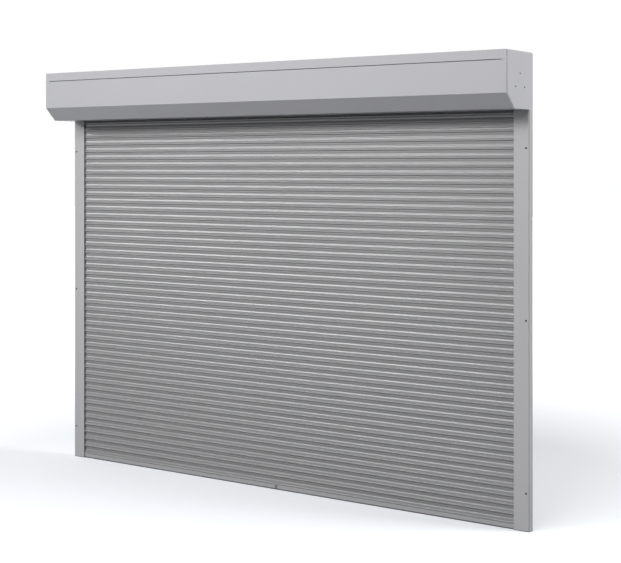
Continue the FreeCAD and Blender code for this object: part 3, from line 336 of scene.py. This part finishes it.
def addPiece(obj, nodeName, name="", ownFinish=False):  # stands for one node, on its body and in its finish
    obj.name = name or pieceNameOf(nodeName)
    obj.data.name = obj.name
    if not ownFinish:
        obj.data.materials.clear()
        obj.data.materials.append(finishes[finishFor(nodeName)])
    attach(obj, bodyOf[nodeName])
    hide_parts(nodeName)


# The slats: one closed outline drawn point by point, filled, drawn out along X, then copied.

slat = {  # a corner is its height above the slat's lower edge and its setback from the crest
    "halfLength": 1.582, "pitch": 0.0469, "crestPlace": -0.0365, "depth": 0.014, "perSection": 6, "sections": 8,
    "firstSlat": 0.030, "lowerEdge": 0.0005, "rest": 0.0001,
    "arcs": (((0.0005, 0.0005), (0.0030, 0.0), (0.0075, 0.0012)),  # three corners on each arc, from the lip up
             ((0.0080, 0.0020), (0.0088, 0.0034), (0.0108, 0.0046)),
             ((0.0108, 0.0046), (0.0180, 0.0051), (0.0245, 0.0069)),
             ((0.0245, 0.0069), (0.0272, 0.0076), (0.0300, 0.0079)),
             ((0.0304, 0.0079), (0.0345, 0.0066), (0.0385, 0.0061)),
             ((0.0385, 0.0061), (0.0402, 0.0061), (0.0420, 0.0065))),
    "pointsPerArc": 7, "leastRise": 0.00001,
    "ledge": 0.0424, "neckFront": 0.0092, "neckBack": 0.0106,
    "hookUnder": 0.0032, "hookTop": 0.0052, "hookTip": 0.0122, "lipTop": 0.0028,
    "grooveFront": 0.0068, "grooveMouth": 0.0110, "grooveBack": 0.0126, "grooveTop": 0.0056,
    "lowerChamber": ((0.0068, 0.0020), (0.0108, 0.0062), (0.0145, 0.0063), (0.0180, 0.0064), (0.0212, 0.0071),
                     (0.0239, 0.0080), (0.0281, 0.0128), (0.0068, 0.0128)),
    "upperChamber": ((0.0305, 0.0092), (0.0348, 0.0078), (0.0398, 0.0075), (0.0410, 0.0106), (0.0456, 0.0106),
                     (0.0456, 0.0128), (0.0305, 0.0128)),
    "starter": 0.001, "flatWithin": 1, "edge": 0.00025, "easedOver": 50, "smoothUnder": 40,
}


def arcThrough(corners):  # centre height, centre setback and radius of the arc through three corners
    (h1, s1), (h2, s2), (h3, s3) = corners
    first = ((h2 * h2 + s2 * s2) - (h1 * h1 + s1 * s1)) / 2
    second = ((h3 * h3 + s3 * s3) - (h1 * h1 + s1 * s1)) / 2
    spread = (h2 - h1) * (s3 - s1) - (h3 - h1) * (s2 - s1)
    height = (first * (s3 - s1) - second * (s2 - s1)) / spread
    setback = (second * (h2 - h1) - first * (h3 - h1)) / spread
    return height, setback, math.hypot(h1 - height, s1 - setback)


def pointsOnArc(arc):
    height, setback, radius = arcThrough(arc)
    start, end = [math.atan2(corner[0] - height, corner[1] - setback) for corner in (arc[0], arc[-1])]
    if end - start > math.pi:
        end -= 2 * math.pi
    if start - end > math.pi:
        end += 2 * math.pi
    steps = slat["pointsPerArc"] - 1
    angles = [start + (end - start) * step / steps for step in range(steps + 1)]
    return [(height + radius * math.sin(angle), setback + radius * math.cos(angle)) for angle in angles]


def slatOutline():  # up the front, over the hook and down the back into the groove
    front = []
    for arc in slat["arcs"]:
        front += [point for point in pointsOnArc(arc) if not front or point[0] > front[-1][0] + slat["leastRise"]]
    top, under = slat["pitch"] + slat["hookTop"], slat["pitch"] + slat["hookUnder"]
    shoulder = slat["pitch"] - slat["rest"]
    hook = [(slat["ledge"], slat["neckFront"]), (top, slat["neckFront"]), (top, slat["hookTip"]),
            (under, slat["hookTip"]), (under, slat["neckBack"])]
    back = [(shoulder, slat["neckBack"]), (shoulder, slat["depth"]), (0, slat["depth"]), (0, slat["grooveMouth"])]
    groove = [(slat["lipTop"], slat["grooveMouth"]), (slat["lipTop"], slat["grooveBack"]),
              (slat["grooveTop"], slat["grooveBack"]), (slat["grooveTop"], slat["grooveFront"]),
              (slat["lowerEdge"], slat["grooveFront"])]
    return front + hook + back + groove


def near(value, wanted):
    return abs(value - wanted) < 0.000001


def drawLoop(made, points):  # a closed loop of edges, drawn by moving one corner on from point to point
    starter = slat["starter"]
    bpy.ops.mesh.primitive_plane_add(size=starter, location=(0, 0, 0))
    pickPoints(made, lambda co: abs(co.z) < starter and abs(co.y) < starter and (co.x > 0 or co.y > 0))
    bpy.ops.mesh.delete(type="VERT")
    pickPoints(made, lambda co: abs(co.z) < starter and abs(co.y) < starter)
    bpy.ops.transform.translate(value=(starter / 2 - slat["halfLength"], points[0][0] + starter / 2, points[0][1]))
    for before, after in zip(points, points[1:]):
        bpy.ops.mesh.extrude_region_move(
            TRANSFORM_OT_translate={"value": (0, after[0] - before[0], after[1] - before[1])})
    ends = (points[0], points[-1])
    pickPoints(made, lambda co: any(near(co.y, y) and near(co.z, z) for y, z in ends))
    bpy.ops.mesh.edge_face_add()


def makeSlat():
    bpy.ops.mesh.primitive_plane_add(size=slat["starter"], location=(0, 0, 0))
    made = bpy.context.object
    openMesh(made)
    bpy.ops.mesh.select_all(action="SELECT")
    bpy.ops.mesh.delete(type="VERT")
    for loop in (slatOutline(), slat["lowerChamber"], slat["upperChamber"]):
        drawLoop(made, [(slat["crestPlace"] + setback, slat["firstSlat"] + height) for height, setback in loop])
    bpy.ops.mesh.select_all(action="SELECT")
    bpy.ops.mesh.fill()
    bpy.ops.mesh.select_all(action="SELECT")
    bpy.ops.mesh.dissolve_limited(angle_limit=math.radians(slat["flatWithin"]))
    bpy.ops.mesh.select_all(action="SELECT")
    bpy.ops.mesh.extrude_region_move(TRANSFORM_OT_translate={"value": (2 * slat["halfLength"], 0, 0)})
    closeMesh(made)
    easeEdges(made, slat["edge"], 1, slat["easedOver"])
    return made


oneSection = makeSlat()
repeat(oneSection, slat["perSection"], (0, 0, slat["pitch"]))
smoothUnder(oneSection, slat["smoothUnder"])
for number in range(1, slat["sections"] + 1):
    section = copyOf(oneSection) if number < slat["sections"] else oneSection
    section.data.transform(Matrix.Translation((0, 0, slat["pitch"] * slat["perSection"] * (number - 1))))
    addPiece(section, "slat_section_%d" % number, "slats_%d" % number)
print("slats made:", slat["sections"], "sections")


# Folded, extruded and moulded pieces: the CAD forms with their edges eased.

easedEdges = {  # node: edge radius
    "top_cover": 0.0006, "inspection_cover": 0.0006, "back_cover": 0.0005, "bottom_rail": 0.0004,
    "bottom_seal": 0.0004, "travel_stop": 0.0008, "cable_grommet": 0.0003, "motor_bracket": 0.0005,
    "bearing_holder": 0.0005, "motor_head": 0.0008, "motor_tube": 0.0003, "motor_output_shaft": 0.0004,
    "drive_wheel": 0.0005, "crown_ring": 0.0005, "barrel_tube": 0.0003, "barrel_end_cap": 0.0006,
    "idler_pin": 0.0005, "bearing_inner_ring": 0.0003, "bearing_outer_ring": 0.0003, "hanger_straps": 0.0002,
}
for side in ("left", "right"):
    easedEdges.update({"end_plate_" + side: 0.0007, "guide_channel_" + side: 0.0005, "guide_cover_" + side: 0.0006,
                       "guide_liner_" + side: 0.0003, "guide_foot_" + side: 0.0006,
                       "inlet_funnel_" + side: 0.0005, "rail_end_plug_" + side: 0.0004})
for number in range(1, slat["sections"] + 1):
    easedEdges["slat_end_clips_%d" % number] = 0.0003
easing = {"mergeWithin": 0.000002, "flatWithin": 1, "segments": 2, "easedOver": 35, "smoothUnder": 50}


def easedCopy(nodeName, radius):
    made = bpy.data.objects.new(nodeName + "_eased", nodes[nodeName].data.copy())
    bpy.context.scene.collection.objects.link(made)
    openMesh(made)
    bpy.ops.mesh.select_all(action="SELECT")
    bpy.ops.mesh.remove_doubles(threshold=easing["mergeWithin"])
    bpy.ops.mesh.dissolve_limited(angle_limit=math.radians(easing["flatWithin"]))
    bpy.ops.object.mode_set(mode="OBJECT")
    easeEdges(made, radius, easing["segments"], easing["easedOver"])
    smoothUnder(made, easing["smoothUnder"])
    applyModifier(made, "WEIGHTED_NORMAL", keep_sharp=True)
    return made


for nodeName, radius in easedEdges.items():
    addPiece(easedCopy(nodeName, radius), nodeName)
print("eased pieces:", len(easedEdges))


# Screws: a domed head with a crossed recess on a pointed shank, made once for each size.

screws = {  # size: head radius and height, shank radius and length; at: where the heads sit
    "guide_screws_left": {"facing": (0, -1, 0), "size": (0.0055, 0.0026, 0.0019, 0.012),
                          "at": ((-1.62, -0.04, 0.2), (-1.62, -0.04, 1.1025), (-1.62, -0.04, 2.005))},
    "guide_screws_right": {"facing": (0, -1, 0), "size": (0.0055, 0.0026, 0.0019, 0.012),
                           "at": ((1.62, -0.04, 0.2), (1.62, -0.04, 1.1025), (1.62, -0.04, 2.005))},
    "end_plate_screws_left": {"facing": (-1, 0, 0), "size": (0.0045, 0.0022, 0.0028, 0.010),
                              "at": ((-1.64, -0.15, 2.388), (-1.64, -0.202, 2.319), (-1.64, -0.098, 2.319))},
    "end_plate_screws_right": {"facing": (1, 0, 0), "size": (0.0045, 0.0022, 0.0028, 0.010),
                               "at": ((1.64, -0.15, 2.388), (1.64, -0.202, 2.319), (1.64, -0.098, 2.319))},
    "cover_screws": {"facing": (0, 0, -1), "size": (0.004, 0.0018, 0.0018, 0.006),
                     "at": ((-1.618, -0.09, 2.205), (-1.618, -0.19, 2.205),
                            (1.618, -0.09, 2.205), (1.618, -0.19, 2.205))},
    "hanger_screws": {"facing": (0, 0.70711, 0.70711), "size": (0.004, 0.0018, 0.002, 0.0042),
                      "at": ((-1.2, -0.12437, 2.38063), (-0.4, -0.12437, 2.38063),
                             (0.4, -0.12437, 2.38063), (1.2, -0.12437, 2.38063))},
}
screwForm = {  # shares of the head's height or radius and of the shank's length; crown: rise and narrowing of a step
    "sides": 24, "rim": 1 / 3, "crown": ((0.25, 0.93), (0.2, 0.85), (0.15, 0.7), (0.07, 0.5)),
    "straight": 0.75, "tip": 0.5,
    "recessLength": 0.95, "recessWidth": 0.26, "recessDepth": 0.75, "recessTaper": 0.8, "smoothUnder": 40,
}


def drawOut(rise, spread):  # the picked face drawn out along Z, then widened or narrowed
    bpy.ops.mesh.extrude_region_move(TRANSFORM_OT_translate={"value": (0, 0, rise)})
    bpy.ops.transform.resize(value=(spread, spread, 1))


def cutRecess(made, long, wide, dome):  # one arm of the cross
    cutter = blockAt((0, 0, dome), (long, wide, 2 * dome * screwForm["recessDepth"]))
    pickFacing(cutter, (0, 0, -1))
    bpy.ops.transform.resize(value=(screwForm["recessTaper"], screwForm["recessTaper"], 1))
    closeMesh(cutter)
    applyModifier(made, "BOOLEAN", operation="DIFFERENCE", object=cutter)
    bpy.data.objects.remove(cutter)


def makeScrew(head, dome, shank, length):
    rim = dome * screwForm["rim"]
    bpy.ops.object.select_all(action="DESELECT")
    bpy.ops.mesh.primitive_cylinder_add(vertices=screwForm["sides"], radius=head, depth=rim,
                                        location=(0, 0, rim / 2))
    made = bpy.context.object
    openMesh(made)
    pickFacing(made, (0, 0, 1))
    for rise, spread in screwForm["crown"]:
        drawOut(dome * rise, spread)
    pickFacing(made, (0, 0, -1))
    bpy.ops.mesh.inset(thickness=head - shank)
    drawOut(-length * screwForm["straight"], 1)
    drawOut(-length * (1 - screwForm["straight"]), screwForm["tip"])
    closeMesh(made)
    armLength, armWidth = head * screwForm["recessLength"], head * screwForm["recessWidth"]
    cutRecess(made, armLength, armWidth, dome)
    cutRecess(made, armWidth, armLength, dome)
    smoothUnder(made, screwForm["smoothUnder"])
    settle(made)
    return made


for nodeName, screw in screws.items():
    turn = Vector(screw["facing"]).to_track_quat("Z", "Y").to_matrix().to_4x4()
    model = makeScrew(*screw["size"])
    group = []
    for spot in screw["at"]:
        group.append(copyOf(model))
        group[-1].data.transform(Matrix.Translation(spot) @ turn)
    bpy.data.objects.remove(model)
    addPiece(joinAll(group), nodeName)
print("screw groups:", len(screws))


# The brush along the mouth of the box: an edged holder with a slot, and tufts side by side in it.

brush = {  # tuftRoot: width and thickness where a tuft starts; tipSpread: how far it fans out at the tips
    "halfLength": 1.548, "front": -0.0525, "back": -0.0435, "low": 2.2065, "high": 2.212, "wall": 0.0016,
    "slotDepth": 0.0040, "edge": 0.0004, "easedOver": 40,
    "tips": -0.0371, "slotGap": 0.0002, "tuftStep": 0.0036, "tuftRoot": (0.00231, 0.00128),
    "tipSpread": (1.4, 1.25), "tipFrom": 0.4,
}


def makeHolder(middle):
    made = blockAt((0, (brush["front"] + brush["back"]) / 2, middle),
                   (2 * brush["halfLength"], brush["back"] - brush["front"], brush["high"] - brush["low"]))
    pickFacing(made, (0, 1, 0))
    bpy.ops.mesh.inset(thickness=brush["wall"])
    bpy.ops.mesh.extrude_region_move(TRANSFORM_OT_translate={"value": (0, -brush["slotDepth"], 0)})
    closeMesh(made)
    settle(made)
    easeEdges(made, brush["edge"], 2, brush["easedOver"])
    made.data.materials.append(finishes["railPaint"])
    return made


def makeTufts(middle):
    root = brush["back"] - brush["slotDepth"] + brush["slotGap"]
    length = brush["tips"] - root
    inside = brush["halfLength"] - brush["wall"]
    made = blockAt((brush["tuftStep"] / 2 - inside, (root + brush["tips"]) / 2, middle),
                   (brush["tuftRoot"][0], length, brush["tuftRoot"][1]))
    bpy.ops.mesh.subdivide(number_cuts=1)
    pickPoints(made, lambda co: co.y > brush["tipFrom"] * length)
    bpy.ops.transform.resize(value=(brush["tipSpread"][0], 1, brush["tipSpread"][1]))
    closeMesh(made)
    settle(made)
    repeat(made, int(2 * inside / brush["tuftStep"]), (brush["tuftStep"], 0, 0))
    made.data.materials.append(finishes["brushFibre"])
    return made


brushMiddle = (brush["low"] + brush["high"]) / 2
addPiece(joinAll([makeHolder(brushMiddle), makeTufts(brushMiddle)]), "mouth_brush", ownFinish=True)
print("brush made")


# The pale floor, the white surroundings and the lamps.

surround = {  # glow: what the floor adds to its own colour where it is looked at, near the door and far from it
    "floorColour": (0.13, 0.133, 0.136), "seenFloorColour": (0.93, 0.955, 1.0), "floorRough": 0.95,
    "floorSpecular": 0.1, "floorSize": 80, "floorDrop": 0.0005,
    "nearGlow": 0.165, "farGlow": 1.1, "glowStart": 2.2, "glowEnd": 7.0, "ambient": 0.36, "seenSky": 1.0,
}


def seenDirectly(tree):  # 1 where the camera, a reflection or a clear piece looks at it
    rays = tree.nodes.new("ShaderNodeLightPath")
    result = rays.outputs["Is Camera Ray"]
    for kind in ("Is Glossy Ray", "Is Transmission Ray"):
        either = tree.nodes.new("ShaderNodeMath")
        either.operation = "MAXIMUM"
        tree.links.new(result, either.inputs[0])
        tree.links.new(rays.outputs[kind], either.inputs[1])
        result = either.outputs[0]
    return result


def paleFloor():
    made, tree, shader = newMaterial("floorFinish")
    shader.inputs["Roughness"].default_value = surround["floorRough"]
    shader.inputs["Specular IOR Level"].default_value = surround["floorSpecular"]
    seen = seenDirectly(tree)
    tree.links.new(tintedBy(tree, seen, surround["floorColour"], surround["seenFloorColour"]),
                   shader.inputs["Base Color"])
    away = tree.nodes.new("ShaderNodeVectorMath")
    away.operation = "LENGTH"
    tree.links.new(objectPlace(tree), away.inputs[0])
    glowLevel = rangeOf(tree, away.outputs["Value"], surround["nearGlow"], surround["farGlow"],
                        surround["glowStart"], surround["glowEnd"])
    glow = tree.nodes.new("ShaderNodeMath")
    glow.operation = "MULTIPLY"
    tree.links.new(seen, glow.inputs[0])
    tree.links.new(glowLevel, glow.inputs[1])
    shader.inputs["Emission Color"].default_value = (1, 1, 1, 1)
    tree.links.new(glow.outputs[0], shader.inputs["Emission Strength"])
    return made


bpy.ops.mesh.primitive_plane_add(size=surround["floorSize"], location=(0, 0, -surround["floorDrop"]))
floor = bpy.context.object
floor.name = "floor"
floor.data.materials.append(paleFloor())

world = bpy.data.worlds.new("surroundings")
bpy.context.scene.world = world
world.use_nodes = True
sky = world.node_tree
skyLevel = rangeOf(sky, seenDirectly(sky), surround["ambient"], surround["seenSky"], 0, 1)
sky.nodes["Background"].inputs["Color"].default_value = (1, 1, 1, 1)
sky.links.new(skyLevel, sky.nodes["Background"].inputs["Strength"])

lamps = {  # the strip far to the left draws the highlights along the slats
    "keyLamp": {"place": (-0.3, -4.6, 4.1), "aim": (0, 0, 1.2), "size": (6.5, 2.5), "power": 190, "inGloss": False},
    "stripLamp": {"place": (-19.0, -25.0, 13.2), "aim": (0, 0, 1.2), "size": (16.0, 6.0), "power": 3500,
                  "inGloss": True},
    "fillLamp": {"place": (6.2, 2.0, 3.7), "aim": (1.6, -0.1, 1.3), "size": (2.4, 2.4), "power": 215,
                 "inGloss": True},
}
for name, look in lamps.items():
    bpy.ops.object.light_add(type="AREA", location=look["place"])
    lamp = bpy.context.object
    lamp.name = name
    lamp.data.shape = "RECTANGLE"
    lamp.data.size, lamp.data.size_y = look["size"]
    lamp.data.energy = look["power"]
    lamp.visible_glossy = look["inGloss"]
    lamp.rotation_euler = (Vector(look["aim"]) - Vector(look["place"])).to_track_quat("-Z", "Y").to_euler()

cameraFit = {"place": (4.6992, -6.4830, 1.9122), "tilt": 90, "turn": 34.61, "lens": 78.27, "sensor": 36,
             "shift": -0.1863, "reach": 200}
bpy.ops.object.camera_add(location=cameraFit["place"],
                          rotation=(math.radians(cameraFit["tilt"]), 0, math.radians(cameraFit["turn"])))
camera = bpy.context.object
camera.data.lens = cameraFit["lens"]
camera.data.sensor_width = cameraFit["sensor"]
camera.data.shift_y = cameraFit["shift"]
camera.data.clip_end = cameraFit["reach"]
bpy.context.scene.camera = camera
bpy.context.scene.view_settings.view_transform = "Standard"
print("stage ready")
